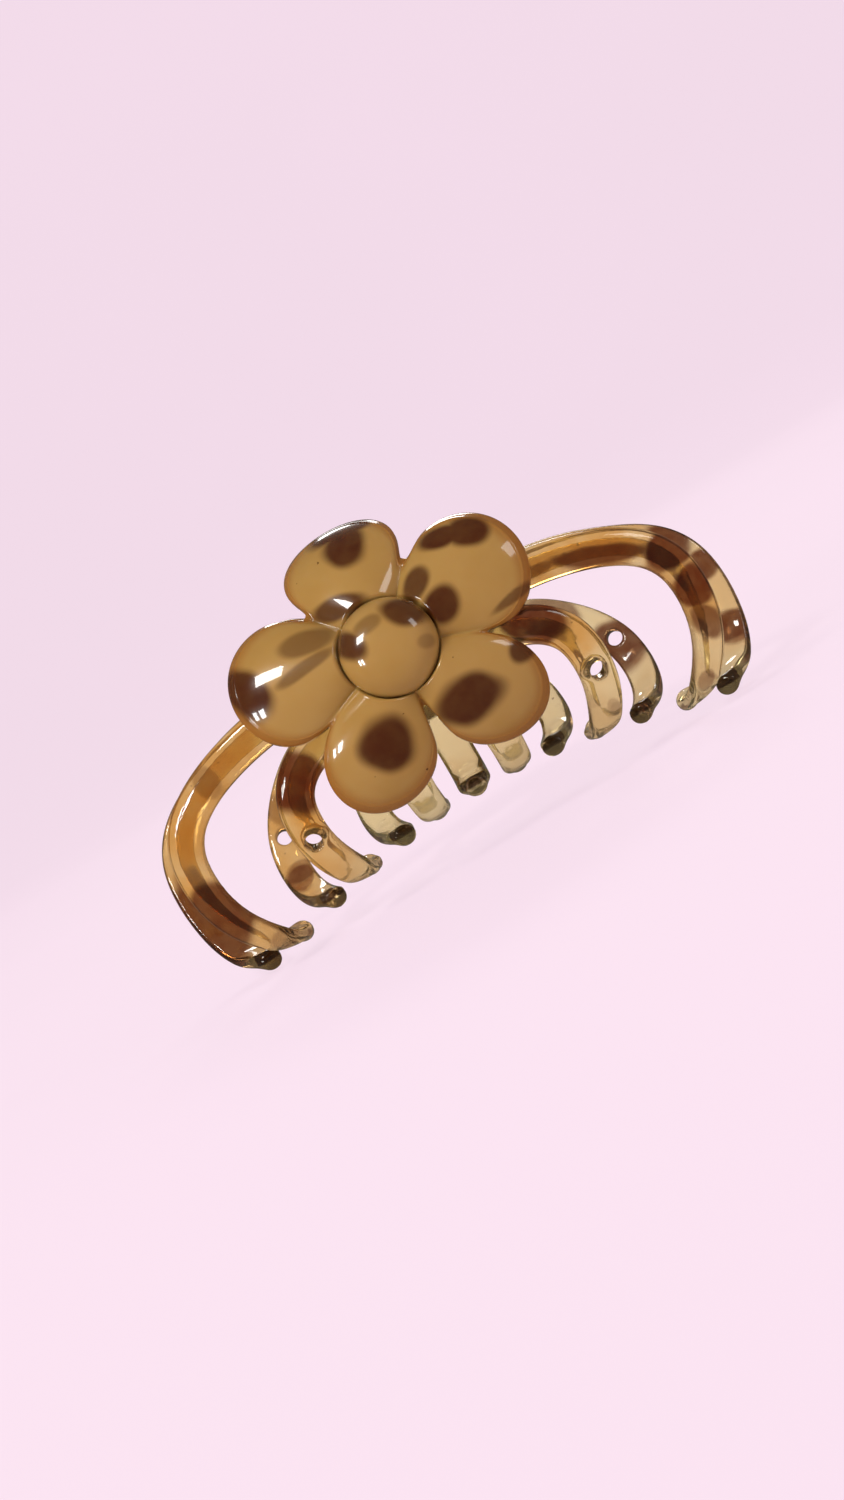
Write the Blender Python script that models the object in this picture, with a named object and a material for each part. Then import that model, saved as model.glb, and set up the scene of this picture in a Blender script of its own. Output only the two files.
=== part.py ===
"""Flower claw clip, closed and standing on its tine tips.

X runs along the clip, the front flower faces -Y and Z is up. Both jaws are cut from one
shallow shell, mirrored about Y = 0, and their tines mesh like the teeth of two combs. The
back jaw, with its flower and button, turns on the hinge axis, which is parallel to X.
Lengths are in millimetres until a mesh is made.
"""

import math
from collections import namedtuple

import bmesh
import bpy
from mathutils import Vector

MM = 0.001
FRONT = -1
BACK = 1
GAP = 0.3

# The shell that both jaws are slices of: depth is the distance from the plane Y = 0.
SHELL_HALF_LENGTH = 68.0
SHELL_DEPTH = 21.0
APEX_Z = 31.0
CROWN_RADIUS = 29.0
CLAW_HEIGHT = 22.0
BAR_THICKNESS = 3.4

# Hub plate in the middle of each jaw, measured along the shell from the flower's centre.
FLOWER_CENTRE_Z = 37.0
HUB_HALF_WIDTH = 10.0
HUB_HALF_HEIGHT = 15.0
HUB_RISE = 2.2

# Tine ends: each hook passes the mid-plane a little and ends in a round nub.
TINE_RINGS = 22
HOOK_PAST = 0.9
NUB_RADIUS = 1.9
NUB_LENGTH = 3.0
GRIP_HOLE_RADIUS = 1.45
ROUND_SIDES = 20

# Hinge, lugs and spring.
HINGE_Z = 42.0
PIN_RADIUS = 1.1
PIN_CLEARANCE = 0.1
PIN_HEAD_RADIUS = 1.9
PIN_HEAD_LENGTH = 0.8
LUG_THICKNESS = 2.4
LUG_EYE_RADIUS = 3.5
BACK_LUG_X = 5.6
FRONT_LUG_X = 8.4
LUG_ROOT_Z = (35.0, 47.0)
LUG_ROOT_SUNK = 0.4
LUG_EYE_TURN = math.radians(100)
LUG_EYE_STEPS = 14
WIRE_RADIUS = 0.5
COIL_RADIUS = 2.65
COIL_HALF_LENGTH = 3.3
COIL_TURNS = 6
SPRING_LEG_END = (12.5, 47.5)

# Flower: five puffed petals on a base that lies against the outside of the hub. Each petal is an
# ellipse on the bent shell: its direction in degrees, its middle's distance from the flower's
# centre, its half-length and its half-width. CREASE_RADII is how near the centre the outline
# comes between each petal and the next one.
Petal = namedtuple("Petal", "direction middle half_length half_width")
PETALS = [
    Petal(90, 17.8, 9.4, 10.2),
    Petal(166, 18.0, 9.3, 10.7),
    Petal(234.4, 17.6, 10.1, 9.2),
    Petal(305.6, 17.6, 10.1, 9.2),
    Petal(374, 18.0, 9.3, 10.7),
]
CREASE_RADII = (15.3, 15.0, 10.8, 15.0, 15.3)
PETAL_STEPS = 10
PETAL_RIM = 1.5
PETAL_PUFF = 3.2
FLOWER_BASE = 2.3
SEAT_RADIUS = 8.2
SEAT_HEIGHT = 2.2
SEAT_SHARE = 0.2
SEAT_WALL = 2.0
FLOWER_SHARES = (SEAT_SHARE, 0.35, 0.5, 0.7, 0.85, 0.95, 1.0)
BUTTON_RADIUS = 7.9
BUTTON_HEIGHT = 5.4

# A tine: (x, z) points of its middle line from the hub, the (x, z) of its tip, its width at the
# hub, along its bend and near the tip, how squarely it curves in (2 is a quarter ellipse), and
# the height of its round grip hole, if it has one.
Tine = namedtuple("Tine", "route tip widths power hole_z")

FRONT_TINES = [
    Tine(
        [(6, 37.6), (19, 37.7), (26, 37.1), (33, 35.5), (39, 33.2), (44, 29.9), (46.8, 25.6),
         (47.5, 21.4), (47.3, 17), (46.3, 13), (44.6, 9.3), (42.4, 6), (41, 4.1)],
        (38.8, 3.1), (7.2, 6.3, 5.6), 2.7, None,
    ),
    Tine(
        [(6, 33), (12, 32), (17.8, 30.6), (22.4, 28.6), (25.4, 25.8), (26.8, 22.5), (27.1, 18.5),
         (26.7, 14.8), (25.7, 11.5), (24.6, 8.6), (24, 7.5)],
        (22.9, 7), (7.2, 6.4, 5.8), 2.7, 17.4,
    ),
    Tine(
        [(4.5, 31), (6.3, 25.6), (7.7, 20.6), (8.2, 15.1), (8.2, 11.9), (8.1, 10)],
        (8, 9.2), (6.6, 5.8, 5.4), 2.3, None,
    ),
]

BACK_TINES = [
    Tine(
        [(6, 37.4), (14, 37.6), (24, 37.4), (34.3, 35.7), (42.3, 32.7), (47.8, 29.8), (51, 26.9),
         (52.9, 23.7), (53.7, 20.5), (54, 16.6), (53.7, 12.4), (52.9, 8.5), (51.5, 5.3),
         (49.7, 3.2)],
        (45.9, 1.9), (7.4, 6.4, 5.8), 2.5, None,
    ),
    Tine(
        [(6, 33.6), (13.6, 32.3), (18, 31), (23.3, 28.8), (26.7, 26.9), (29.7, 24.4),
         (32.3, 21.6), (34.1, 18.9), (35.3, 16.2), (35.8, 13.1), (35.7, 10.2), (34.9, 7.6),
         (33.3, 5.9)],
        (30.7, 5.4), (7.4, 6.2, 5.4), 2.5, 17.6,
    ),
    Tine(
        [(6, 30), (11, 25.5), (15.8, 20), (17.8, 16.3), (18.3, 13.7), (18.2, 11.3), (17.2, 9.3)],
        (14.9, 8.4), (7.0, 6.0, 5.4), 2.3, None,
    ),
    Tine([(0, 31), (0, 25), (0, 19.7), (0, 13), (0, 10.6)], (0, 9.4), (7.0, 6.4, 6.2), 2.3, None),
]

AMBER = (0.42, 0.21, 0.06, 1.0)
CARAMEL = (0.48, 0.27, 0.10, 1.0)
STEEL = (0.62, 0.62, 0.60, 1.0)


def clear_scene():
    for obj in list(bpy.data.objects):
        bpy.data.objects.remove(obj, do_unlink=True)


def material(name, colour, roughness, metallic=0.0):
    made = bpy.data.materials.new(name)
    made.use_nodes = True
    shader = made.node_tree.nodes["Principled BSDF"]
    shader.inputs["Base Color"].default_value = colour
    shader.inputs["Roughness"].default_value = roughness
    shader.inputs["Metallic"].default_value = metallic
    return made


def object_from(name, made, origin_z=0.0):
    """Turns a closed bmesh in millimetres into an object whose origin is on (0, 0, origin_z)."""
    bmesh.ops.recalc_face_normals(made, faces=made.faces)
    origin = Vector((0.0, 0.0, origin_z))
    for vert in made.verts:
        vert.co = (vert.co - origin) * MM
    mesh = bpy.data.meshes.new(name)
    made.to_mesh(mesh)
    made.free()
    mesh.shade_smooth()
    mesh.set_sharp_from_angle(angle=math.radians(40))
    obj = bpy.data.objects.new(name, mesh)
    obj.location = origin * MM
    bpy.context.scene.collection.objects.link(obj)
    return obj


def helper(name, made, origin_z=0.0):
    """A solid that a Boolean reads: it isn't a piece of the clip."""
    obj = object_from(name, made, origin_z)
    obj.hide_render = True
    obj.display_type = "WIRE"
    return obj


def combine(target, others, operation):
    for other in others:
        boolean = target.modifiers.new(f"{operation.lower()} {other.name}", "BOOLEAN")
        boolean.operation = operation
        boolean.object = other


def skin(rings):
    """A closed bmesh through rings of points that all have the same count."""
    made = bmesh.new()
    loops = [[made.verts.new(point) for point in ring] for ring in rings]
    for near, far in zip(loops, loops[1:]):
        for i in range(len(near)):
            j = (i + 1) % len(near)
            made.faces.new((near[i], near[j], far[j], far[i]))
    made.faces.new(loops[0])
    made.faces.new(loops[-1])
    return made


def signed_power(value, power):
    return math.copysign(abs(value) ** power, value)


# --- the shell ---------------------------------------------------------------------------


def bend(x):
    """How much nearer the mid-plane the shell is at x than in the middle."""
    return SHELL_DEPTH * (1.0 - math.sqrt(1.0 - (x / SHELL_HALF_LENGTH) ** 2))


def shell_depth(x, z):
    rise = max(z - APEX_Z, 0.0)
    crown = CROWN_RADIUS - math.sqrt(CROWN_RADIUS**2 - rise**2)
    return SHELL_DEPTH - bend(x) - crown


def claw_share(z, tip_z, power):
    """The share of the shell's depth that a tine keeps as it curves in to its tip."""
    height = min(max((z - tip_z) / CLAW_HEIGHT, 0.0), 1.0)
    return (1.0 - (1.0 - height) ** power) ** (1.0 / power)


def wrap(across, along, height, side):
    """A point laid on the bent shell: across and along from the flower's centre, height outwards."""
    start = math.asin((FLOWER_CENTRE_Z - APEX_Z) / CROWN_RADIUS)
    radius = CROWN_RADIUS + height
    angle = start + along / radius
    depth = SHELL_DEPTH - bend(across) - CROWN_RADIUS + radius * math.cos(angle)
    return Vector((across, side * depth, APEX_Z + radius * math.sin(angle)))


def full_turn(steps):
    return [math.tau * i / steps for i in range(steps)]


def wrapped_slab(outline, top, bottom, side, angles, shares):
    """A closed slab over a polar outline. top and bottom give heights, read at these shares."""
    steps = len(angles)
    made = bmesh.new()
    loops = []
    for height_at in (top, bottom):
        centre = made.verts.new(wrap(*outline(0.0, 0.0), height_at(0.0, 0.0), side))
        sheet = []
        for share in shares:
            ring = []
            for angle in angles:
                place = outline(share, angle)
                ring.append(made.verts.new(wrap(*place, height_at(share, angle), side)))
            sheet.append(ring)
        for i in range(steps):
            j = (i + 1) % steps
            made.faces.new((centre, sheet[0][i], sheet[0][j]))
            for near, far in zip(sheet, sheet[1:]):
                made.faces.new((near[i], far[i], far[j], near[j]))
        loops.append(sheet[-1])
    for i in range(steps):
        j = (i + 1) % steps
        made.faces.new((loops[0][i], loops[1][i], loops[1][j], loops[0][j]))
    return made


# --- tines -------------------------------------------------------------------------------


def smooth_path(points, count):
    """Catmull-Rom curve through the points, read at count evenly spaced places."""
    ends = [points[0] * 2 - points[1]] + points + [points[-1] * 2 - points[-2]]
    dense = []
    for a, b, c, d in zip(ends, ends[1:], ends[2:], ends[3:]):
        for step in range(8):
            t = step / 8
            dense.append(
                0.5 * ((2 * b) + (c - a) * t + (2 * a - 5 * b + 4 * c - d) * t**2
                       + (3 * b - a - 3 * c + d) * t**3)
            )
    dense.append(points[-1])
    lengths = [0.0]
    for near, far in zip(dense, dense[1:]):
        lengths.append(lengths[-1] + (far - near).length)
    path = []
    at = 0
    for i in range(count):
        wanted = lengths[-1] * i / (count - 1)
        while at < len(dense) - 2 and lengths[at + 1] < wanted:
            at += 1
        share = (wanted - lengths[at]) / (lengths[at + 1] - lengths[at])
        path.append(dense[at].lerp(dense[at + 1], share))
    return path, lengths[-1]


def tine_middle(tine, side, count):
    tip_x, tip_z = tine.tip
    points = []
    for x, z in tine.route:
        depth = shell_depth(x, z) * claw_share(z, tip_z, tine.power)
        points.append(Vector((x, side * depth, z)))
    points.append(Vector((tip_x, -side * HOOK_PAST, tip_z)))
    return smooth_path(points, count)


def outward(point, along, side):
    """The shell's outward direction at a point, square to the tine."""
    rise = min(point.z - APEX_Z, 0.0)
    slope = Vector((point.x / SHELL_HALF_LENGTH**2, point.y / SHELL_DEPTH**2, rise / CROWN_RADIUS**2))
    if slope.length < 1e-6:
        slope = Vector((0.0, side, 0.0))
    return (slope - along * slope.dot(along)).normalized()


def bar_section(half_width, outer, inner, roundness, count=10):
    """A D: domed outside and nearly flat inside at roundness 0, an ellipse at roundness 1."""
    flat_power = 2.0 / (6.0 - 4.0 * roundness)
    side_power = 2.0 / (2.8 - 0.8 * roundness)
    ring = []
    for i in range(count):
        angle = math.tau * i / count
        across = half_width * signed_power(math.cos(angle), side_power)
        lift = math.sin(angle)
        out = outer * lift if lift > 0 else inner * signed_power(lift, flat_power)
        ring.append((across, out))
    return ring


def tine_solid(tine, side, mirror):
    path, length = tine_middle(tine, side, TINE_RINGS)
    root_width, bend_width, tip_width = tine.widths
    rings = []
    for i, point in enumerate(path):
        ahead = path[min(i + 1, len(path) - 1)]
        behind = path[max(i - 1, 0)]
        along = (ahead - behind).normalized()
        out = outward(point, along, side)
        across = out.cross(along)
        share = i / (len(path) - 1)
        left = length * (1.0 - share)
        width = root_width + (bend_width - root_width) * min(share / 0.4, 1.0)
        width += (tip_width - bend_width) * max((share - 0.4) / 0.6, 0.0)
        thickness = BAR_THICKNESS - 0.8 * max((share - 0.5) / 0.5, 0.0)
        nub = min(max(1.0 - left / NUB_LENGTH, 0.0), 1.0)
        half_width = width / 2 + (NUB_RADIUS + 0.2 - width / 2) * nub
        half_thick = thickness / 2 + (NUB_RADIUS - thickness / 2) * nub
        section = bar_section(half_width, half_thick, half_thick, nub)
        rings.append([point + across * w + out * n for w, n in section])
    last = rings[-1]
    middle = path[-1]
    step = (path[-1] - path[-2]).normalized()
    rings.append([middle + (p - middle) * 0.62 + step * NUB_RADIUS * 0.45 for p in last])
    if mirror:
        rings = [[Vector((-p.x, p.y, p.z)) for p in ring] for ring in rings]
    return skin(rings)


def grip_hole(tine, side, mirror):
    """A cutter square through the tine's bar at its hole height."""
    path, _ = tine_middle(tine, side, 6 * TINE_RINGS)
    index = min(range(1, len(path) - 1), key=lambda i: abs(path[i].z - tine.hole_z))
    point = path[index]
    along = (path[index + 1] - path[index - 1]).normalized()
    out = outward(point, along, side)
    across = out.cross(along)
    rings = []
    for reach in (-BAR_THICKNESS * 1.5, BAR_THICKNESS * 1.5):
        ring = []
        for angle in full_turn(ROUND_SIDES):
            turn = across * math.cos(angle) + along * math.sin(angle)
            ring.append(point + out * reach + turn * GRIP_HOLE_RADIUS)
        rings.append(ring)
    if mirror:
        rings = [[Vector((-p.x, p.y, p.z)) for p in ring] for ring in rings]
    return skin(rings)


# --- hub, lugs and jaws ------------------------------------------------------------------


def hub_outline(share, angle):
    across = HUB_HALF_WIDTH * signed_power(math.cos(angle), 0.85) * share
    along = HUB_HALF_HEIGHT * signed_power(math.sin(angle), 0.85) * share
    return across, along + HUB_RISE


def hub_solid(side):
    half = BAR_THICKNESS / 2

    def top(share, angle):
        return half - 0.5 * share**6

    def bottom(share, angle):
        return -half + 0.3 * share**6

    return wrapped_slab(hub_outline, top, bottom, side, full_turn(32), (0.4, 0.75, 0.93, 1.0))


def lug_outline(side):
    """Side view of a lug as (y, z) points: an eye round the pin and two edges to the hub."""
    eye = Vector((0.0, HINGE_Z))
    points = [Vector((side * (shell_depth(0, z) - LUG_ROOT_SUNK), z)) for z in LUG_ROOT_Z]
    for i in range(LUG_EYE_STEPS + 1):
        angle = LUG_EYE_TURN * (1 - 2 * i / LUG_EYE_STEPS)
        turn = Vector((-side * math.cos(angle), math.sin(angle)))
        points.append(eye + turn * LUG_EYE_RADIUS)
    return points


def lug_solid(side, x):
    outline = lug_outline(side)
    half = LUG_THICKNESS / 2
    return skin([[Vector((x + s * half, p.x, p.y)) for p in outline] for s in (-1, 1)])


def rod_along_x(stations):
    """A turned solid on the hinge axis, from (x, radius) stations."""
    rings = []
    for x, radius in stations:
        ring = []
        for angle in full_turn(ROUND_SIDES):
            ring.append(Vector((x, radius * math.cos(angle), HINGE_Z + radius * math.sin(angle))))
        rings.append(ring)
    return skin(rings)


def make_jaw(name, side, tines, lug_x, plastic):
    origin_z = HINGE_Z if side == BACK else 0.0
    jaw = object_from(name, hub_solid(side), origin_z)
    added = []
    cutters = []
    for number, tine in enumerate(tines):
        for mirror in (False, True):
            if mirror and tine.tip[0] == 0:
                continue
            label = f"{name}_tine_{number}_{'left' if mirror else 'right'}"
            added.append(helper(label, tine_solid(tine, side, mirror), origin_z))
            if tine.hole_z:
                cutters.append(helper(label + "_hole", grip_hole(tine, side, mirror), origin_z))
    for x in (-lug_x, lug_x):
        added.append(helper(f"{name}_lug_{'left' if x < 0 else 'right'}", lug_solid(side, x), origin_z))
    reach = FRONT_LUG_X + 3 * LUG_THICKNESS
    hole_radius = PIN_RADIUS + PIN_CLEARANCE
    hole = rod_along_x([(-reach, hole_radius), (reach, hole_radius)])
    cutters.append(helper(f"{name}_pin_hole", hole, origin_z))
    combine(jaw, added, "UNION")
    combine(jaw, cutters, "DIFFERENCE")
    jaw.data.materials.append(plastic)
    return jaw


# --- flower ------------------------------------------------------------------------------


def valley_angles():
    """The directions of the creases between neighbouring petals, in radians."""
    directions = [petal.direction for petal in PETALS] + [PETALS[0].direction + 360]
    return [math.radians((a + b) / 2) for a, b in zip(directions, directions[1:])]


def flower_angles():
    """Directions round the flower, with one exactly on each crease."""
    valleys = valley_angles()
    valleys.append(valleys[0] + math.tau)
    angles = []
    for low, high in zip(valleys, valleys[1:]):
        angles += [low + (high - low) * i / PETAL_STEPS for i in range(PETAL_STEPS)]
    return angles


def angle_between(one, other):
    return abs((one - other + math.pi) % math.tau - math.pi)


def nearest_petal(angle):
    """(angle from the nearest petal's axis, that petal)."""
    offs = [(angle_between(angle, math.radians(petal.direction)), petal) for petal in PETALS]
    return min(offs, key=lambda found: found[0])


def petal_reach(angle):
    """Distance from the flower's centre to the petals' outline, in this direction."""
    creases = [(angle_between(angle, at), r) for at, r in zip(valley_angles(), CREASE_RADII)]
    off_crease, crease_radius = min(creases)
    off, petal = nearest_petal(angle)
    slope = math.tan(off)
    # The far crossing of the ray (s, s * slope) with the petal's ellipse.
    square = 1 / petal.half_length**2 + slope**2 / petal.half_width**2
    linear = -2 * petal.middle / petal.half_length**2
    constant = petal.middle**2 / petal.half_length**2 - 1
    under_root = linear**2 - 4 * square * constant
    if under_root < 0 or off_crease < 1e-6:
        return crease_radius
    s = (-linear + math.sqrt(under_root)) / (2 * square)
    return s * math.hypot(1.0, slope)


def flower_radius(share, angle):
    """The button's seat takes the inner SEAT_SHARE of the slab, the petals the rest."""
    if share <= SEAT_SHARE:
        return SEAT_RADIUS * share / SEAT_SHARE
    beyond = (share - SEAT_SHARE) / (1.0 - SEAT_SHARE)
    return SEAT_RADIUS + (petal_reach(angle) - SEAT_RADIUS) * beyond


def flower_outline(share, angle):
    radius = flower_radius(share, angle)
    return radius * math.cos(angle), radius * math.sin(angle)


def flower_top(share, angle):
    seat = FLOWER_BASE + SEAT_HEIGHT
    radius = flower_radius(share, angle)
    if share <= SEAT_SHARE:
        return seat
    valley = min(nearest_petal(angle)[0] / math.radians(180 / len(PETALS)), 1.0)
    ridge = 0.25 + 0.75 * math.cos(valley * math.pi / 2) ** 0.8
    crown = math.sqrt(max(1.0 - (radius / petal_reach(angle)) ** 5, 0.0))
    lift = PETAL_RIM + PETAL_PUFF * ridge * crown
    climb = min((radius - SEAT_RADIUS) / SEAT_WALL, 1.0)
    return seat + (FLOWER_BASE + lift - seat) * climb


def flower_bottom(share, angle):
    return FLOWER_BASE


def make_flower(name, side, plastic):
    slab = wrapped_slab(flower_outline, flower_top, flower_bottom, side, flower_angles(), FLOWER_SHARES)
    flower = object_from(name, slab, HINGE_Z if side == BACK else 0.0)
    flower.data.materials.append(plastic)
    return flower


def make_button(name, side, plastic):
    base = FLOWER_BASE + SEAT_HEIGHT + GAP

    def outline(share, angle):
        return BUTTON_RADIUS * share * math.cos(angle), BUTTON_RADIUS * share * math.sin(angle)

    def top(share, angle):
        return base + 0.4 + (BUTTON_HEIGHT - 0.4) * math.sqrt(1.0 - share**2)

    def bottom(share, angle):
        return base

    slab = wrapped_slab(outline, top, bottom, side, full_turn(24), (0.3, 0.55, 0.8, 0.95, 1.0))
    button = object_from(name, slab, HINGE_Z if side == BACK else 0.0)
    button.data.materials.append(plastic)
    return button


# --- pin and spring ----------------------------------------------------------------------


def make_pin(steel):
    face = FRONT_LUG_X + LUG_THICKNESS / 2 + GAP
    end = face + PIN_HEAD_LENGTH
    half = [(face, PIN_RADIUS), (face, PIN_HEAD_RADIUS), (end - 0.3, PIN_HEAD_RADIUS),
            (end, PIN_HEAD_RADIUS - 0.5)]
    stations = [(-x, radius) for x, radius in reversed(half)] + half
    pin = object_from("hinge_pin", rod_along_x(stations), HINGE_Z)
    pin.data.materials.append(steel)


def spring_points():
    """The wire's middle line: front leg, coil round the pin, back leg."""
    reach, leg_z = SPRING_LEG_END
    height = leg_z - HINGE_Z
    lean = math.acos(COIL_RADIUS / math.hypot(reach, height))
    first = math.atan2(height, -reach) - lean
    last = math.atan2(height, reach) + lean - math.tau * COIL_TURNS
    points = [Vector((-COIL_HALF_LENGTH, -reach, leg_z))]
    count = COIL_TURNS * 12
    for i in range(count + 1):
        share = i / count
        angle = first + (last - first) * share
        x = -COIL_HALF_LENGTH + 2 * COIL_HALF_LENGTH * share
        points.append(
            Vector((x, COIL_RADIUS * math.cos(angle), HINGE_Z + COIL_RADIUS * math.sin(angle)))
        )
    points.append(Vector((COIL_HALF_LENGTH, reach, leg_z)))
    return points


def make_spring(steel):
    curve = bpy.data.curves.new("torsion_spring", "CURVE")
    curve.dimensions = "3D"
    curve.bevel_depth = WIRE_RADIUS * MM
    curve.bevel_resolution = 2
    curve.use_fill_caps = True
    points = spring_points()
    wire = curve.splines.new("POLY")
    wire.points.add(len(points) - 1)
    origin = Vector((0.0, 0.0, HINGE_Z))
    for place, point in zip(wire.points, points):
        place.co = (*((point - origin) * MM), 1.0)
    spring = bpy.data.objects.new("torsion_spring", curve)
    spring.location = origin * MM
    spring.data.materials.append(steel)
    bpy.context.scene.collection.objects.link(spring)


def main():
    clear_scene()
    make_jaw("front_jaw", FRONT, FRONT_TINES, FRONT_LUG_X, material("front_amber", AMBER, 0.12))
    make_jaw("back_jaw", BACK, BACK_TINES, BACK_LUG_X, material("back_amber", AMBER, 0.12))
    make_flower("front_flower", FRONT, material("front_petals", CARAMEL, 0.15))
    make_flower("back_flower", BACK, material("back_petals", CARAMEL, 0.15))
    make_button("front_flower_button", FRONT, material("front_button", CARAMEL, 0.15))
    make_button("back_flower_button", BACK, material("back_button", CARAMEL, 0.15))
    make_pin(material("pin_steel", STEEL, 0.3, 1.0))
    make_spring(material("spring_steel", STEEL, 0.35, 1.0))


main()
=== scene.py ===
"""Looks of the flower claw clip: clear amber jaws with brown patches, milky caramel flowers with
round buttons, a bright pin and spring, a pale seamless stage, soft light and the camera.

Shapes repeat the CAD model's rules at a finer step, in millimetres until a mesh is made.
"""

import math
from collections import namedtuple

import bmesh
import bpy
import numpy as np
from mathutils import Matrix, Vector


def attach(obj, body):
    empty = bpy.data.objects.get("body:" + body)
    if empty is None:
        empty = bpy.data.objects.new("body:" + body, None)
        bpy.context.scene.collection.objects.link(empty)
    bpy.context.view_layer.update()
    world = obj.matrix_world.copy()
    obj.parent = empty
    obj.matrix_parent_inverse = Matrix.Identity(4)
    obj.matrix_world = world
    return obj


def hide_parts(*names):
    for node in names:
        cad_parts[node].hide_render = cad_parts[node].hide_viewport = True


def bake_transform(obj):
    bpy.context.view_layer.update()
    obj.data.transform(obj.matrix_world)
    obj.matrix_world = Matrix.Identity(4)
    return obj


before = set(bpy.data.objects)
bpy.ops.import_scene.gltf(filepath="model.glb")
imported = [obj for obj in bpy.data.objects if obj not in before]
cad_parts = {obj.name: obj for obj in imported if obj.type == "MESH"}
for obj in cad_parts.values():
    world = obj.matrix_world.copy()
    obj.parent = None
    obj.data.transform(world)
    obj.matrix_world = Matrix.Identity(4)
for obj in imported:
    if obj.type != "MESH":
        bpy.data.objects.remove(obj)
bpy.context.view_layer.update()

MM = 0.001
FRONT = -1
BACK = 1
BODY = {FRONT: "front_half", BACK: "back_half"}
GAP = 0.3

# The shell that both jaws are slices of: depth is the distance from the plane Y = 0.
SHELL_HALF_LENGTH = 68.0
SHELL_DEPTH = 21.0
APEX_Z = 31.0
CROWN_RADIUS = 29.0
CLAW_HEIGHT = 22.0
BAR_THICKNESS = 3.4

# Hub plate in the middle of each jaw, measured along the shell from the flower's centre. Its
# edges are thinner by HUB_EDGE_DROPS outside and inside.
FLOWER_CENTRE_Z = 37.0
HUB_HALF_WIDTH = 10.0
HUB_HALF_HEIGHT = 15.0
HUB_RISE = 2.2
HUB_CORNER_POWER = 0.85
HUB_EDGE_DROPS = (0.5, 0.3)
HUB_EDGE_POWER = 6
HUB_RINGS = 16
HUB_SIDES = 120

# Tines and their round nubs. The shares are of a tine's length from the hub. A section is a
# superellipse of these powers: 2 is round and more is squarer.
TINE_RINGS = 110
TINE_SIDES = 40
SPAN_STEPS = 24
PATH_SMOOTHING = 12
BEND_SHARE = 0.4
THIN_FROM_SHARE = 0.5
TIP_THINNING = 0.8
ROUND_POWER = 2.0
SIDE_POWER = 2.8
INSIDE_POWER = 6.0
HOOK_PAST = 0.9
NUB_RADIUS = 1.9
NUB_LENGTH = 3.0
NUB_EXTRA_WIDTH = 0.2
NUB_CAP_SHARES = (0.35, 0.6, 0.8, 0.93)
NUB_CAP_LENGTH = 0.5 * NUB_RADIUS
GRIP_HOLE_RADIUS = 1.45
HOLE_LIP = 0.35
HOLE_LIP_DEPTH = 0.5
VOXEL = 0.27
SKIN_SOFTENING = 0.5
SKIN_SMOOTHING = 7

# Hinge, lugs and spring.
HINGE_Z = 42.0
PIN_RADIUS = 1.1
PIN_HOLE_CLEARANCE = 0.2
PIN_HEAD_RADIUS = 1.9
PIN_HEAD_LENGTH = 0.8
PIN_HEAD_EDGE = 0.1
PIN_HEAD_STEPS = 9
PIN_SHARP_ANGLE = math.radians(40)
LUG_THICKNESS = 2.4
LUG_EYE_RADIUS = 3.5
BACK_LUG_X = 5.6
FRONT_LUG_X = 8.4
LUG_ROOT_Z = (35.0, 47.0)
LUG_ROOT_SUNK = 0.4
LUG_EYE_TURN = math.radians(100)
LUG_EYE_STEPS = 40
WIRE_RADIUS = 0.5
COIL_RADIUS = 2.65
COIL_HALF_LENGTH = 3.3
COIL_TURNS = 6
COIL_STEPS = 40
LEG_STEPS = 12
WIRE_ROUNDNESS = 5
SPRING_LEG_END = (12.5, 47.5)
ROUND_SIDES = 64

# Flower: ellipses on the bent shell, and how near the centre each crease comes.
Petal = namedtuple("Petal", "direction middle half_length half_width")
PETALS = [
    Petal(90, 17.8, 9.4, 10.2),
    Petal(166, 18.0, 9.3, 10.7),
    Petal(234.4, 17.6, 10.1, 9.2),
    Petal(305.6, 17.6, 10.1, 9.2),
    Petal(374, 18.0, 9.3, 10.7),
]
CREASE_RADII = (15.3, 15.0, 10.8, 15.0, 15.3)
PETAL_STEPS = 72
PETAL_RINGS = 64
PETAL_RIM = 1.5
PETAL_PUFF = 3.2
PETAL_FULLNESS = 5
REACH_SMOOTHING = 2
CREASE_FLOOR = 0.22
CREASE_POWER = 0.7
BEAD_HEIGHT = 0.14
BEAD_INSET = 1.3
BEAD_WIDTH = 0.2
FLOWER_BASE = 2.3
BASE_EDGE_LIFT = 0.35
BASE_EDGE_SHARE = 0.97
SEAT_RADIUS = 8.2
SEAT_HEIGHT = 2.2
SEAT_SHARE = 0.2
SEAT_RINGS = 4
SEAT_WALL = 0.3
BUTTON_RADIUS = 8.18
BUTTON_HEIGHT = 5.4
BUTTON_LIP = 0.3
BUTTON_FULLNESS = 3
BUTTON_RINGS = 32
BUTTON_SIDES = 128

# A tine: (x, z) points of its middle line, the (x, z) of its tip, its width at the hub, along its
# bend and near the tip, how squarely it curves in, and the height of its grip hole.
Tine = namedtuple("Tine", "route tip widths power hole_z")

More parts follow.
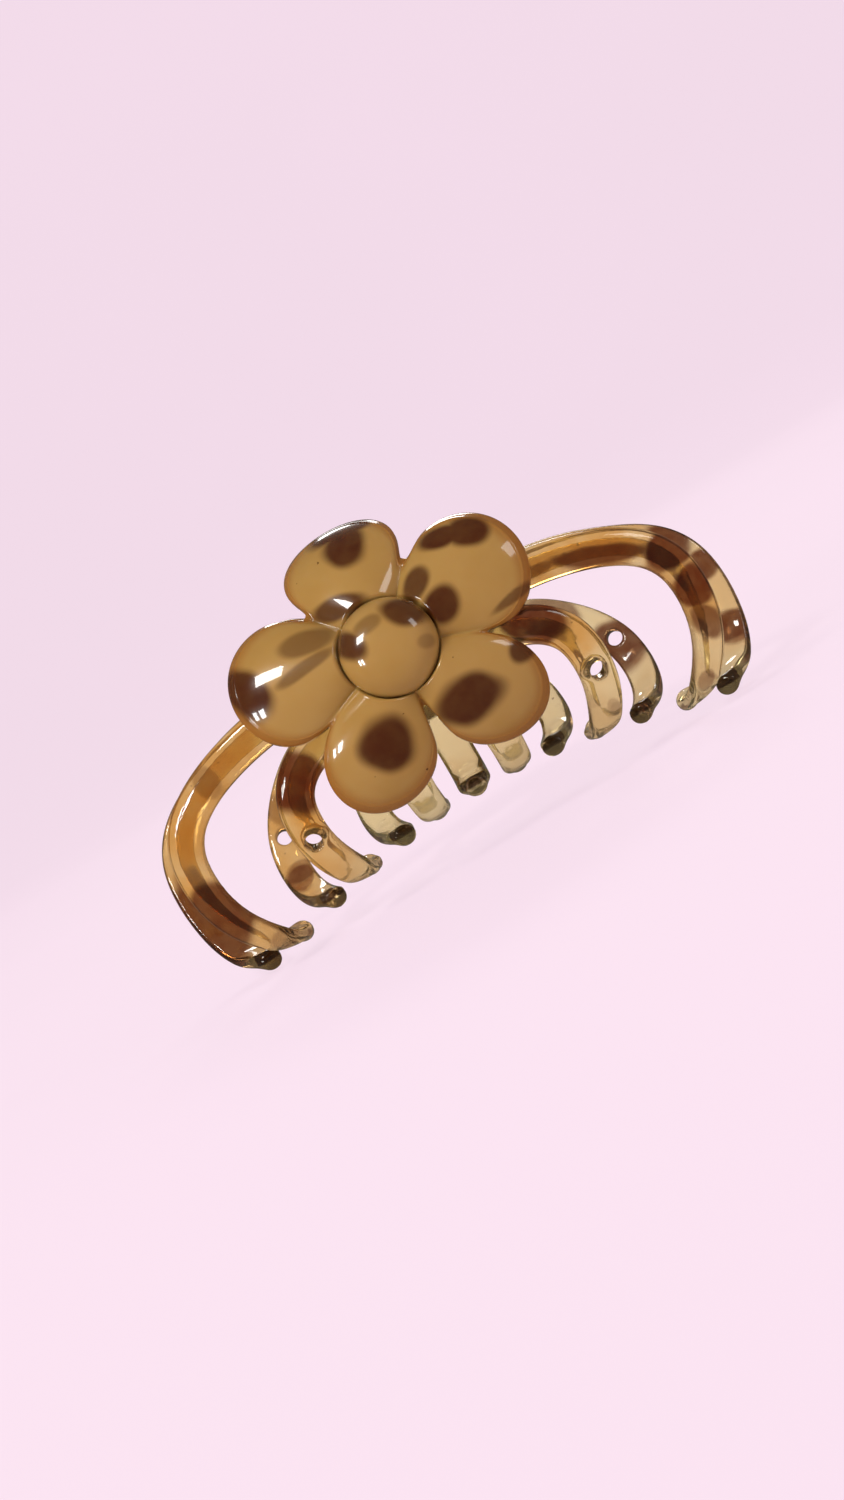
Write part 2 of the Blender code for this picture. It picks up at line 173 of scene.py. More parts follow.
FRONT_TINES = [
    Tine(
        [(6, 37.6), (19, 37.7), (26, 37.1), (33, 35.5), (39, 33.2), (44, 29.9), (46.8, 25.6),
         (47.5, 21.4), (47.3, 17), (46.3, 13), (44.6, 9.3), (42.4, 6), (41, 4.1)],
        (38.8, 3.1), (7.2, 6.3, 5.6), 2.7, None,
    ),
    Tine(
        [(6, 33), (12, 32), (17.8, 30.6), (22.4, 28.6), (25.4, 25.8), (26.8, 22.5), (27.1, 18.5),
         (26.7, 14.8), (25.7, 11.5), (24.6, 8.6), (24, 7.5)],
        (22.9, 7), (7.2, 6.4, 5.8), 2.7, 17.4,
    ),
    Tine(
        [(4.5, 31), (6.3, 25.6), (7.7, 20.6), (8.2, 15.1), (8.2, 11.9), (8.1, 10)],
        (8, 9.2), (6.6, 5.8, 5.4), 2.3, None,
    ),
]

BACK_TINES = [
    Tine(
        [(6, 37.4), (14, 37.6), (24, 37.4), (34.3, 35.7), (42.3, 32.7), (47.8, 29.8), (51, 26.9),
         (52.9, 23.7), (53.7, 20.5), (54, 16.6), (53.7, 12.4), (52.9, 8.5), (51.5, 5.3),
         (49.7, 3.2)],
        (45.9, 1.9), (7.4, 6.4, 5.8), 2.5, None,
    ),
    Tine(
        [(6, 33.6), (13.6, 32.3), (18, 31), (23.3, 28.8), (26.7, 26.9), (29.7, 24.4),
         (32.3, 21.6), (34.1, 18.9), (35.3, 16.2), (35.8, 13.1), (35.7, 10.2), (34.9, 7.6),
         (33.3, 5.9)],
        (30.7, 5.4), (7.4, 6.2, 5.4), 2.5, 17.6,
    ),
    Tine(
        [(6, 30), (11, 25.5), (15.8, 20), (17.8, 16.3), (18.3, 13.7), (18.2, 11.3), (17.2, 9.3)],
        (14.9, 8.4), (7.0, 6.0, 5.4), 2.3, None,
    ),
    Tine([(0, 31), (0, 25), (0, 19.7), (0, 13), (0, 10.6)], (0, 9.4), (7.0, 6.4, 6.2), 2.3, None),
]

# Dye patches: middle, half-lengths, turn in degrees and strength. On a jaw they are (x, z) places
# seen from the front; on a flower they are across and along the shell from its centre.
Patch = namedtuple("Patch", "across along half_across half_along turn strength")

FRONT_BROWN = [
    Patch(36.5, 33.0, 8.0, 1.6, -24, 0.95),
    Patch(25.5, 36.3, 4.5, 0.9, -6, 0.7),
    Patch(47.0, 27.6, 4.0, 3.2, 0, 1.0),
    Patch(47.8, 20.6, 3.2, 3.6, 0, 1.0),
    Patch(46.6, 14.4, 2.2, 3.2, 10, 0.85),
    Patch(42.0, 5.8, 1.9, 1.5, 40, 0.8),
    Patch(22.0, 29.5, 5.6, 3.8, -35, 1.0),
    Patch(26.5, 10.0, 1.2, 1.7, 0, 0.5),
    Patch(-24.5, 27.2, 5.2, 6.0, 25, 1.0),
    Patch(-37.0, 34.2, 2.2, 2.8, 20, 0.45),
    Patch(-46.5, 14.0, 4.6, 6.5, 0, 0.95),
    Patch(-40.5, 5.0, 2.4, 2.0, 0, 0.7),
]
FRONT_GOLD = [
    Patch(34.0, 34.5, 13.0, 5.0, -14, 0.85),
    Patch(47.0, 22.0, 6.0, 11.0, 0, 0.8),
    Patch(26.5, 24.0, 5.0, 6.5, 0, 0.85),
    Patch(-40.0, 26.0, 26.0, 26.0, 0, 0.85),
    Patch(-27.0, 20.0, 4.0, 5.5, 0, 0.9),
]
BACK_BROWN = [
    Patch(53.2, 8.8, 4.2, 2.8, -15, 0.95),
    Patch(35.0, 15.9, 4.6, 4.8, 0, 0.95),
    Patch(51.0, 27.5, 4.4, 4.4, 0, 0.95),
    Patch(54.2, 20.8, 2.6, 2.8, 0, 0.95),
    Patch(27.5, 27.0, 5.4, 3.0, -40, 0.75),
    Patch(-35.4, 10.4, 2.6, 2.1, 0, 0.95),
    Patch(-52.0, 12.0, 6.5, 10.0, 0, 0.95),
    Patch(-33.0, 22.0, 2.5, 3.2, 30, 0.55),
    Patch(17.8, 17.4, 2.0, 2.6, 0, 0.4),
]
BACK_GOLD = [
    Patch(40.0, 33.0, 14.0, 5.0, -20, 0.8),
    Patch(54.0, 18.0, 4.0, 4.0, 0, 0.3),
    Patch(-45.0, 22.0, 20.0, 26.0, 0, 0.8),
]
PETAL_BROWN = [
    Patch(2.2, 20.0, 3.7, 4.6, 0, 1.0),
    Patch(3.4, 24.2, 6.6, 2.8, -4, 1.0),
    Patch(-3.8, 9.9, 4.8, 2.0, -12, 0.9),
    Patch(15.8, 11.3, 3.6, 2.1, -12, 1.0),
    Patch(20.3, 9.6, 3.4, 2.9, -30, 1.0),
    Patch(10.8, 1.2, 3.2, 2.9, 0, 1.0),
    Patch(8.8, 6.2, 3.2, 2.1, 40, 0.9),
    Patch(21.0, -3.6, 4.2, 0.8, 8, 0.7),
    Patch(6.8, -14.2, 5.6, 3.8, -8, 1.0),
    Patch(18.0, -11.6, 2.4, 2.1, 30, 0.95),
    Patch(-8.2, -13.6, 4.6, 4.5, 0, 1.0),
    Patch(-23.6, 5.4, 3.4, 5.6, 18, 1.0),
    Patch(-11.0, 7.6, 4.8, 2.2, -10, 0.6),
    Patch(-13.4, 3.8, 5.2, 1.2, 4, 0.6),
]
BUTTON_BROWN = [
    Patch(4.9, 2.9, 3.6, 2.4, -42, 0.95),
    Patch(-5.4, 3.0, 2.2, 3.3, 30, 0.95),
    Patch(-1.2, 3.9, 2.8, 1.4, 0, 0.5),
    Patch(5.6, -3.0, 1.5, 1.2, 0, 0.35),
]

# Waves that make the patches' outlines wander: height as a share of a patch's size, radians per
# millimetre across and along, and phase.
Wave = namedtuple("Wave", "height across along phase")
OUTLINE_WAVES = [Wave(0.06, 0.53, 0.61, 0.4), Wave(0.04, 0.87, -0.62, 2.1)]

# How far, as a share of a patch's size, its edge fades. A petal's rim colour fades inwards over
# these millimetres from the outline.
JAW_BROWN_FADE = 0.15
JAW_GOLD_FADE = 0.5
PETAL_BROWN_FADE = 0.26
BUTTON_BROWN_FADE = 0.3
PETAL_RIM_FADE = (3.6, 0.2)

# Painted shade on a jaw: the bars' side walls, the nubs' end faces and the grip holes' linings
# are made darker in colour where shade and black reflections would fall. A wall is told by how
# little it faces straight out of the shell, and its painted shade lies only away from the hub and
# the tips. It is darkest where it faces outwards along X or down.
WALL_PAINTED_SHADE = 0.5
OUTER_WALL_PAINTED_SHADE = 0.45
OUTER_WALL_TURN = (-0.2, 0.3)
OUTER_WALL_DOWN = 0.3
WALL_FACING = (0.62, 0.25)
WALL_FROM_HUB = (11.0, 15.0)
HUB_FOOT_Z = 26.0
WALL_FROM_PLANE = (1.5, 4.0)
LEAST_SLOPE = 1e-4
NUB_PAINTED_SHADE = 0.96
NUB_PAINTED_SHADE_FADE = (-0.05, 0.15)
NUB_PAINTED_SHADE_REACH = NUB_RADIUS + 0.6
NUB_FACE_TURN = 0.2
HOLE_PAINTED_SHADE = 0.75
HOLE_PAINTED_SHADE_WIDTH = 0.5

# Colours, in linear light.
AMBER_CLEAR = (0.82, 0.77, 0.40)
AMBER_GOLD = (0.62, 0.32, 0.035)
AMBER_BROWN = (0.12, 0.022, 0.002)
# Nearly black: the plastic's own specks, and painted shade on the jaws' walls, nubs and holes.
AMBER_SPECK_AND_SHADE = (0.07, 0.018, 0.004)
CARAMEL = (0.30, 0.175, 0.042)
CARAMEL_MILK = (1.08, 1.12, 1.25)
CARAMEL_RIM = (0.24, 0.10, 0.015)
CARAMEL_BROWN = (0.05, 0.011, 0.0015)
STEEL_DARK = (0.58, 0.57, 0.55)
STEEL_LIGHT = (0.70, 0.69, 0.66)
STAGE_DARK = (0.10, 0.08, 0.09)
STAGE_LIGHT = (0.11, 0.085, 0.10)
STAGE_GLOW = (1.0, 0.81, 0.93)
STAGE_GLOW_STRENGTH = 0.80
ROOM = (1.0, 0.88, 0.72)
ROOM_STRENGTH = 0.16

# Stage and lights, in metres and watts.
STAGE_RADIUS = 1.3
STAGE_TURN_RADIUS = 0.7
STAGE_TURN_STEPS = 12
STAGE_HEIGHT = 2.2
STAGE_SIDES = 96
STAGE_DROP = 0.0004
LIGHT_AIM = Vector((0.0, 0.0, 0.03))
Light = namedtuple("Light", "name place size power colour")
LIGHTS = [
    Light("key", (-0.45, -0.70, 0.85), (0.30, 0.22), 7.5, (1.0, 0.97, 0.92)),
    Light("window_left", (-0.75, -0.62, 0.22), (0.09, 0.16), 1.6, (0.95, 0.98, 1.0)),
    Light("window_right", (-0.64, -0.73, 0.22), (0.09, 0.16), 1.6, (0.95, 0.98, 1.0)),
    Light("fill", (0.9, -0.6, 0.5), (0.3, 0.3), 1.5, (1.0, 0.98, 0.96)),
    Light("back", (0.2, 1.0, 0.8), (0.5, 0.3), 4.0, (1.0, 0.98, 0.95)),
]

# Camera: where it looks, how far away it is, and how it is turned.
LOOK_AT = (-4.8, -0.15, 19.4)
CAMERA_DISTANCE = 360.0
CAMERA_ELEVATION = math.radians(4.0)
CAMERA_YAW = math.radians(1.8)
CAMERA_ROLL = math.radians(31.3)
LENS = 50.2


# --- the shell, as in the CAD model ------------------------------------------------------


def signed_power(value, power):
    return math.copysign(abs(value) ** power, value)


def smoothstep(low, high, value):
    share = np.clip((value - low) / (high - low), 0.0, 1.0)
    return share * share * (3.0 - 2.0 * share)


def bend(x):
    return SHELL_DEPTH * (1.0 - math.sqrt(1.0 - (x / SHELL_HALF_LENGTH) ** 2))


def shell_depth(x, z):
    rise = max(z - APEX_Z, 0.0)
    crown = CROWN_RADIUS - math.sqrt(CROWN_RADIUS**2 - rise**2)
    return SHELL_DEPTH - bend(x) - crown


def claw_share(z, tip_z, power):
    height = min(max((z - tip_z) / CLAW_HEIGHT, 0.0), 1.0)
    return (1.0 - (1.0 - height) ** power) ** (1.0 / power)


def wrap(across, along, height, side):
    start = math.asin((FLOWER_CENTRE_Z - APEX_Z) / CROWN_RADIUS)
    radius = CROWN_RADIUS + height
    angle = start + along / radius
    depth = SHELL_DEPTH - bend(across) - CROWN_RADIUS + radius * math.cos(angle)
    return Vector((across, side * depth, APEX_Z + radius * math.sin(angle)))


def full_turn(steps):
    return [math.tau * i / steps for i in range(steps)]


# --- mesh helpers ------------------------------------------------------------------------


def object_from(name, made):
    """Turns a closed bmesh in millimetres into an object."""
    bmesh.ops.recalc_face_normals(made, faces=made.faces)
    for vert in made.verts:
        vert.co = vert.co * MM
    mesh = bpy.data.meshes.new(name)
    made.to_mesh(mesh)
    made.free()
    mesh.shade_smooth()
    obj = bpy.data.objects.new(name, mesh)
    bpy.context.scene.collection.objects.link(obj)
    return obj


def skin(rings):
    made = bmesh.new()
    loops = [[made.verts.new(point) for point in ring] for ring in rings]
    for near, far in zip(loops, loops[1:]):
        for i in range(len(near)):
            j = (i + 1) % len(near)
            made.faces.new((near[i], near[j], far[j], far[i]))
    made.faces.new(loops[0])
    made.faces.new(loops[-1])
    return made


def apply_modifiers(obj):
    graph = bpy.context.evaluated_depsgraph_get()
    done = bpy.data.meshes.new_from_object(obj.evaluated_get(graph))
    obj.modifiers.clear()
    obj.data = done


def drop(obj):
    bpy.data.objects.remove(obj, do_unlink=True)


def cut(obj, cutter):
    boolean = obj.modifiers.new("cut", "BOOLEAN")
    boolean.operation = "DIFFERENCE"
    boolean.object = cutter
    apply_modifiers(obj)
    drop(cutter)


def melt_together(name, solids):
    """One moulded skin round overlapping solids, with small fillets where they meet."""
    made = bmesh.new()
    for solid in solids:
        made.from_mesh(solid.data)
        drop(solid)
    mesh = bpy.data.meshes.new(name)
    made.to_mesh(mesh)
    made.free()
    obj = bpy.data.objects.new(name, mesh)
    bpy.context.scene.collection.objects.link(obj)
    remesh = obj.modifiers.new("skin", "REMESH")
    remesh.mode = "VOXEL"
    remesh.voxel_size = VOXEL * MM
    smooth = obj.modifiers.new("soften", "SMOOTH")
    smooth.factor = SKIN_SOFTENING
    smooth.iterations = SKIN_SMOOTHING
    apply_modifiers(obj)
    obj.data.shade_smooth()
    return obj


def points_of(obj):
    """(places in millimetres, normals) of a mesh's points."""
    mesh = obj.data
    places = np.empty(len(mesh.vertices) * 3)
    mesh.vertices.foreach_get("co", places)
    normals = np.empty(len(mesh.vertices) * 3)
    mesh.vertices.foreach_get("normal", normals)
    return places.reshape(-1, 3) / MM, normals.reshape(-1, 3)


def store(obj, name, values):
    layer = obj.data.attributes.new(name, "FLOAT", "POINT")
    layer.data.foreach_set("value", np.clip(values, 0.0, 1.0).astype(np.float32))


def patch_amount(across, along, patches, softness):
    """How strongly the dye patches colour each place, with wandering outlines."""
    wander = np.zeros(len(across))
    for wave in OUTLINE_WAVES:
        swing = np.sin(wave.across * across + wave.along * along + wave.phase)
        wander += wave.height * swing
    amount = np.zeros(len(across))
    for patch in patches:
        turn = math.radians(patch.turn)
        dx = across - patch.across
        dz = along - patch.along
        a = (dx * math.cos(turn) + dz * math.sin(turn)) / patch.half_across
        b = (dz * math.cos(turn) - dx * math.sin(turn)) / patch.half_along
        inside = smoothstep(1.0 + softness, 1.0 - softness, np.hypot(a, b) + wander)
        amount = np.maximum(amount, patch.strength * inside)
    return amount


# --- jaws --------------------------------------------------------------------------------


def smooth_path(points, count):
    """Catmull-Rom curve through the points, read at count evenly spaced places."""
    ends = [points[0] * 2 - points[1]] + points + [points[-1] * 2 - points[-2]]
    dense = []
    for a, b, c, d in zip(ends, ends[1:], ends[2:], ends[3:]):
        for step in range(SPAN_STEPS):
            t = step / SPAN_STEPS
            square = 2 * a - 5 * b + 4 * c - d
            cube = 3 * b - a - 3 * c + d
            dense.append(0.5 * (2 * b + (c - a) * t + square * t**2 + cube * t**3))
    dense.append(points[-1])
    lengths = [0.0]
    for near, far in zip(dense, dense[1:]):
        lengths.append(lengths[-1] + (far - near).length)
    path = []
    at = 0
    for i in range(count):
        wanted = lengths[-1] * i / (count - 1)
        while at < len(dense) - 2 and lengths[at + 1] < wanted:
            at += 1
        share = (wanted - lengths[at]) / (lengths[at + 1] - lengths[at])
        path.append(dense[at].lerp(dense[at + 1], share))
    return path, lengths[-1]


def tine_middle(tine, side):
    tip_x, tip_z = tine.tip
    points = []
    for x, z in tine.route:
        depth = shell_depth(x, z) * claw_share(z, tip_z, tine.power)
        points.append(Vector((x, side * depth, z)))
    points.append(Vector((tip_x, -side * HOOK_PAST, tip_z)))
    path, length = smooth_path(points, TINE_RINGS)
    for _ in range(PATH_SMOOTHING):
        inner = [(a + b * 2 + c) / 4 for a, b, c in zip(path, path[1:], path[2:])]
        path = [path[0]] + inner + [path[-1]]
    return path, length


def outward(point, along, side):
    """The way out of the shell at a point, square to the bar that runs along there."""
    rise = min(point.z - APEX_Z, 0.0) / CROWN_RADIUS**2
    slope = Vector((point.x / SHELL_HALF_LENGTH**2, point.y / SHELL_DEPTH**2, rise))
    if slope.length < 1e-6:
        slope = Vector((0.0, side, 0.0))
    return (slope - along * slope.dot(along)).normalized()


def bar_section(half_width, half_thick, roundness):
    """A D: domed outside and nearly flat inside at roundness 0, an ellipse at roundness 1."""
    inside_power = ROUND_POWER / (INSIDE_POWER + (ROUND_POWER - INSIDE_POWER) * roundness)
    side_power = ROUND_POWER / (SIDE_POWER + (ROUND_POWER - SIDE_POWER) * roundness)
    ring = []
    for angle in full_turn(TINE_SIDES):
        across = half_width * signed_power(math.cos(angle), side_power)
        lift = math.sin(angle)
        out = half_thick * (lift if lift > 0 else signed_power(lift, inside_power))
        ring.append((across, out))
    return ring


def tine_rings(tine, side):
    path, length = tine_middle(tine, side)
    root_width, bend_width, tip_width = tine.widths
    rings = []
    for i, point in enumerate(path):
        ahead = path[min(i + 1, len(path) - 1)]
        behind = path[max(i - 1, 0)]
        along = (ahead - behind).normalized()
        out = outward(point, along, side)
        across = out.cross(along)
        share = i / (len(path) - 1)
        left = length * (1.0 - share)
        width = root_width + (bend_width - root_width) * min(share / BEND_SHARE, 1.0)
        past_bend = max((share - BEND_SHARE) / (1.0 - BEND_SHARE), 0.0)
        width += (tip_width - bend_width) * past_bend
        thinned = max((share - THIN_FROM_SHARE) / (1.0 - THIN_FROM_SHARE), 0.0)
        thickness = BAR_THICKNESS - TIP_THINNING * thinned
        nub = float(smoothstep(NUB_LENGTH, 0.0, left))
        half_width = width / 2 + (NUB_RADIUS + NUB_EXTRA_WIDTH - width / 2) * nub
        half_thick = thickness / 2 + (NUB_RADIUS - thickness / 2) * nub
        section = bar_section(half_width, half_thick, nub)
        rings.append([point + across * w + out * n for w, n in section])
    return rings + nub_cap(rings[-1], path)


def nub_cap(last, path):
    """Shrinking rings that round off the end of a tine."""
    middle = path[-1]
    step = (path[-1] - path[-2]).normalized()
    rings = []
    for share in NUB_CAP_SHARES:
        shrink = math.sqrt(1.0 - share**2)
        centre = middle + step * NUB_CAP_LENGTH * share
        rings.append([centre + (point - middle) * shrink for point in last])
    return rings


def hole_place(tine, side):
    """The middle of a tine's grip hole, the bar's direction there and the way out of it."""
    path, _ = tine_middle(tine, side)
    index = min(range(1, len(path) - 1), key=lambda i: abs(path[i].z - tine.hole_z))
    point = path[index]
    along = (path[index + 1] - path[index - 1]).normalized()
    return point, along, outward(point, along, side)


def hole_rings(tine, side):
    """A cutter square through the bar at its hole height, flared at both faces."""
    point, along, out = hole_place(tine, side)
    across = out.cross(along)
    half = BAR_THICKNESS / 2
    outer_half = [(half - HOLE_LIP_DEPTH, 0.0), (half, HOLE_LIP), (2 * half, HOLE_LIP)]
    inner_half = [(-reach, wider) for reach, wider in reversed(outer_half)]
    rings = []
    for reach, wider in inner_half + outer_half:
        ring = []
        for angle in full_turn(ROUND_SIDES):
            turn = across * math.cos(angle) + along * math.sin(angle)
            ring.append(point + out * reach + turn * (GRIP_HOLE_RADIUS + wider))
        rings.append(ring)
    return rings


def mirrored(rings):
    return [[Vector((-p.x, p.y, p.z)) for p in ring] for ring in rings]


def hub_slab(side):
    half = BAR_THICKNESS / 2

    def outline(share, angle):
        across = HUB_HALF_WIDTH * signed_power(math.cos(angle), HUB_CORNER_POWER) * share
        along = HUB_HALF_HEIGHT * signed_power(math.sin(angle), HUB_CORNER_POWER) * share
        return across, along + HUB_RISE

    def top(share, angle):
        return half - HUB_EDGE_DROPS[0] * share**HUB_EDGE_POWER

    def bottom(share, angle):
        return -half + HUB_EDGE_DROPS[1] * share**HUB_EDGE_POWER

    shares = [i / HUB_RINGS for i in range(1, HUB_RINGS + 1)]
    return wrapped_slab(outline, top, bottom, side, full_turn(HUB_SIDES), shares)


def lug_slab(side, x):
    eye = Vector((0.0, HINGE_Z))
    points = [Vector((side * (shell_depth(0, z) - LUG_ROOT_SUNK), z)) for z in LUG_ROOT_Z]
    for i in range(LUG_EYE_STEPS + 1):
        angle = LUG_EYE_TURN * (1 - 2 * i / LUG_EYE_STEPS)
        turn = Vector((-side * math.cos(angle), math.sin(angle)))
        points.append(eye + turn * LUG_EYE_RADIUS)
    half = LUG_THICKNESS / 2
    return skin([[Vector((x + s * half, p.x, p.y)) for p in points] for s in (-1, 1)])


def rod_along_x(stations):
    rings = []
    for x, radius in stations:
        ring = []
        for angle in full_turn(ROUND_SIDES):
            height = HINGE_Z + radius * math.sin(angle)
            ring.append(Vector((x, radius * math.cos(angle), height)))
        rings.append(ring)
    return skin(rings)


def wall_painted_shade(places, normals, side):
    """How much painted shade darkens the bars' side walls: most where they face outwards along X or
    down.
    """
    x, y, z = places.T
    rise = np.minimum(z - APEX_Z, 0.0) / CROWN_RADIUS**2
    depth_slope = y / SHELL_DEPTH**2 + side * LEAST_SLOPE
    out = np.stack([x / SHELL_HALF_LENGTH**2, depth_slope, rise], axis=1)
    out /= np.linalg.norm(out, axis=1, keepdims=True)
    facing = np.abs((out * normals).sum(axis=1))
    outwards = np.sign(x) * normals[:, 0] - OUTER_WALL_DOWN * normals[:, 2]
    outer = smoothstep(*OUTER_WALL_TURN, outwards)
    wall = (WALL_PAINTED_SHADE + OUTER_WALL_PAINTED_SHADE * outer) * smoothstep(*WALL_FACING, facing)
    wall *= smoothstep(*WALL_FROM_HUB, np.abs(x) + np.maximum(HUB_FOOT_Z - z, 0.0))
    return wall * smoothstep(*WALL_FROM_PLANE, side * y)


def nub_painted_shade(places, normals, side, tine):
    """Painted shade on the upper half of a nub's end face, standing in for a black reflection there.
    """
    x, y, z = places.T
    tip_x, tip_z = tine.tip
    near = (np.abs(np.abs(x) - tip_x) < NUB_PAINTED_SHADE_REACH) & (np.abs(z - tip_z) < NUB_LENGTH)
    end_face = (side * y < HOOK_PAST) & (side * normals[:, 1] < -NUB_FACE_TURN)
    return np.where(near & end_face, NUB_PAINTED_SHADE * smoothstep(*NUB_PAINTED_SHADE_FADE, z - tip_z), 0.0)


def hole_painted_shade(places, side, tine):
    """How much painted shade darkens the lining of a tine's grip hole, and of its mirror image."""
    x, y, z = places.T
    middle, _, axis = hole_place(tine, side)
    offset = np.stack([np.abs(x) - middle.x, y - middle.y, z - middle.z], axis=1)
    away = np.linalg.norm(offset - np.outer(offset @ axis, axis), axis=1)
    return HOLE_PAINTED_SHADE * smoothstep(GRIP_HOLE_RADIUS + HOLE_PAINTED_SHADE_WIDTH, GRIP_HOLE_RADIUS, away)


def colour_jaw(obj, side, tines, brown, gold):
    """Stores how brown and how golden each point of a jaw is, and how much painted shade darkens it.
    """
    places, normals = points_of(obj)
    x, _, z = places.T
    store(obj, "brown", patch_amount(x, z, brown, JAW_BROWN_FADE))
    store(obj, "gold", patch_amount(x, z, gold, JAW_GOLD_FADE))
    # Painted shade: side walls, nub end faces and hole linings made darker where shade would fall.
    painted_shade = wall_painted_shade(places, normals, side)
    for tine in tines:
        painted_shade = np.maximum(painted_shade, nub_painted_shade(places, normals, side, tine))
        if tine.hole_z:
            painted_shade = np.maximum(painted_shade, hole_painted_shade(places, side, tine))
    store(obj, "painted_shade", painted_shade)


def make_bar(name, rings, hole):
    bar = object_from(name, skin(rings))
    if hole:
        cut(bar, object_from("hole", skin(hole)))
    return bar


def make_lug(name, side, x):
    lug = object_from(name, lug_slab(side, x))
    reach = 2 * LUG_THICKNESS
    radius = PIN_RADIUS + PIN_HOLE_CLEARANCE
    pin_hole = rod_along_x([(x - reach, radius), (x + reach, radius)])
    cut(lug, object_from("pin_hole", pin_hole))
    return lug


def make_jaw(name, side, tines, lug_x, patches, plastic):
    solids = [object_from(name + "_hub", hub_slab(side))]
    for number, tine in enumerate(tines):
        rings = tine_rings(tine, side)
        hole = hole_rings(tine, side) if tine.hole_z else []
        solids.append(make_bar(f"{name}_tine_{number}_right", rings, hole))
        if tine.tip[0] > 0:
            left = make_bar(f"{name}_tine_{number}_left", mirrored(rings), mirrored(hole))
            solids.append(left)
    for x in (-lug_x, lug_x):
        solids.append(make_lug(f"{name}_lug", side, x))
    jaw = melt_together(name + "_moulding", solids)
    colour_jaw(jaw, side, tines, *patches)
    jaw.data.materials.clear()
    jaw.data.materials.append(plastic)
    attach(jaw, BODY[side])
    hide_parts(name)


# --- flowers and buttons -----------------------------------------------------------------


def wrapped_slab(outline, top, bottom, side, angles, shares):
    """A closed slab over a polar outline. top and bottom give heights, read at these shares."""
    steps = len(angles)
    made = bmesh.new()
    loops = []
    for height_at in (top, bottom):
        centre = made.verts.new(wrap(*outline(0.0, 0.0), height_at(0.0, 0.0), side))
        sheet = []
        for share in shares:
            ring = []
            for angle in angles:
                place = outline(share, angle)
                ring.append(made.verts.new(wrap(*place, height_at(share, angle), side)))
            sheet.append(ring)
        for i in range(steps):
            j = (i + 1) % steps
            made.faces.new((centre, sheet[0][i], sheet[0][j]))
            for near, far in zip(sheet, sheet[1:]):
                made.faces.new((near[i], far[i], far[j], near[j]))
        loops.append(sheet[-1])
    for i in range(steps):
        j = (i + 1) % steps
        made.faces.new((loops[0][i], loops[1][i], loops[1][j], loops[0][j]))
    return made


def valley_angles():
    directions = [petal.direction for petal in PETALS] + [PETALS[0].direction + 360]
    return [math.radians((a + b) / 2) for a, b in zip(directions, directions[1:])]


def flower_angles():
    valleys = valley_angles()
    valleys.append(valleys[0] + math.tau)
    angles = []
    for low, high in zip(valleys, valleys[1:]):
        angles += [low + (high - low) * i / PETAL_STEPS for i in range(PETAL_STEPS)]
    return angles


def angle_between(one, other):
    return abs((one - other + math.pi) % math.tau - math.pi)


def raw_reach(angle):
    """Distance from the flower's centre to the petals' outline, before it is rounded off."""
    creases = [(angle_between(angle, at), r) for at, r in zip(valley_angles(), CREASE_RADII)]
    _, crease_radius = min(creases)
    offs = [(angle_between(angle, math.radians(petal.direction)), petal) for petal in PETALS]
    off, petal = min(offs, key=lambda found: found[0])
    slope = math.tan(off)
    square = 1 / petal.half_length**2 + slope**2 / petal.half_width**2
    linear = -2 * petal.middle / petal.half_length**2
    constant = petal.middle**2 / petal.half_length**2 - 1
    under_root = linear**2 - 4 * square * constant
    if under_root < 0:
        return crease_radius
    s = (-linear + math.sqrt(under_root)) / (2 * square)
    return s * math.hypot(1.0, slope)


def smooth_reach(angles):
    reach = [raw_reach(angle) for angle in angles]
    for _ in range(REACH_SMOOTHING):
        before = reach[-1:] + reach[:-1]
        after = reach[1:] + reach[:1]
        reach = [(a + 2 * b + c) / 4 for a, b, c in zip(before, reach, after)]
    return reach


ANGLES = flower_angles()
REACH = smooth_reach(ANGLES)
REACH_AT = dict(zip(ANGLES, REACH))
HALF_PETAL_ANGLE = math.pi / len(PETALS)
VALLEY_AT = {
    angle: min(angle_between(angle, at) for at in valley_angles()) / HALF_PETAL_ANGLE
    for angle in ANGLES
}


def flower_radius(share, angle):
    if share <= SEAT_SHARE:
        return SEAT_RADIUS * share / SEAT_SHARE
    beyond = (share - SEAT_SHARE) / (1.0 - SEAT_SHARE)
    return SEAT_RADIUS + (REACH_AT.get(angle, SEAT_RADIUS) - SEAT_RADIUS) * beyond


def flower_top(share, angle):
    seat = FLOWER_BASE + SEAT_HEIGHT
    radius = flower_radius(share, angle)
    if share <= SEAT_SHARE:
        return seat
    reach = REACH_AT[angle]
    # Between two petals the surface falls to a rounded crease.
    fold = math.sin(min(VALLEY_AT[angle], 1.0) * math.pi / 2) ** CREASE_POWER
    ridge = CREASE_FLOOR + (1.0 - CREASE_FLOOR) * fold
    crown = math.sqrt(max(1.0 - (radius / reach) ** PETAL_FULLNESS, 0.0))
    bead = BEAD_HEIGHT * math.exp(-(((reach - radius - BEAD_INSET) / BEAD_WIDTH) ** 2))
    lift = PETAL_RIM + PETAL_PUFF * ridge * crown + bead
    climb = min((radius - SEAT_RADIUS) / SEAT_WALL, 1.0)
    return seat + (FLOWER_BASE + lift - seat) * climb * climb * (3 - 2 * climb)


def flower_outline(share, angle):
    radius = flower_radius(share, angle)
    return radius * math.cos(angle), radius * math.sin(angle)


def flower_bottom(share, angle):
    return FLOWER_BASE + BASE_EDGE_LIFT * smoothstep(BASE_EDGE_SHARE, 1.0, share)


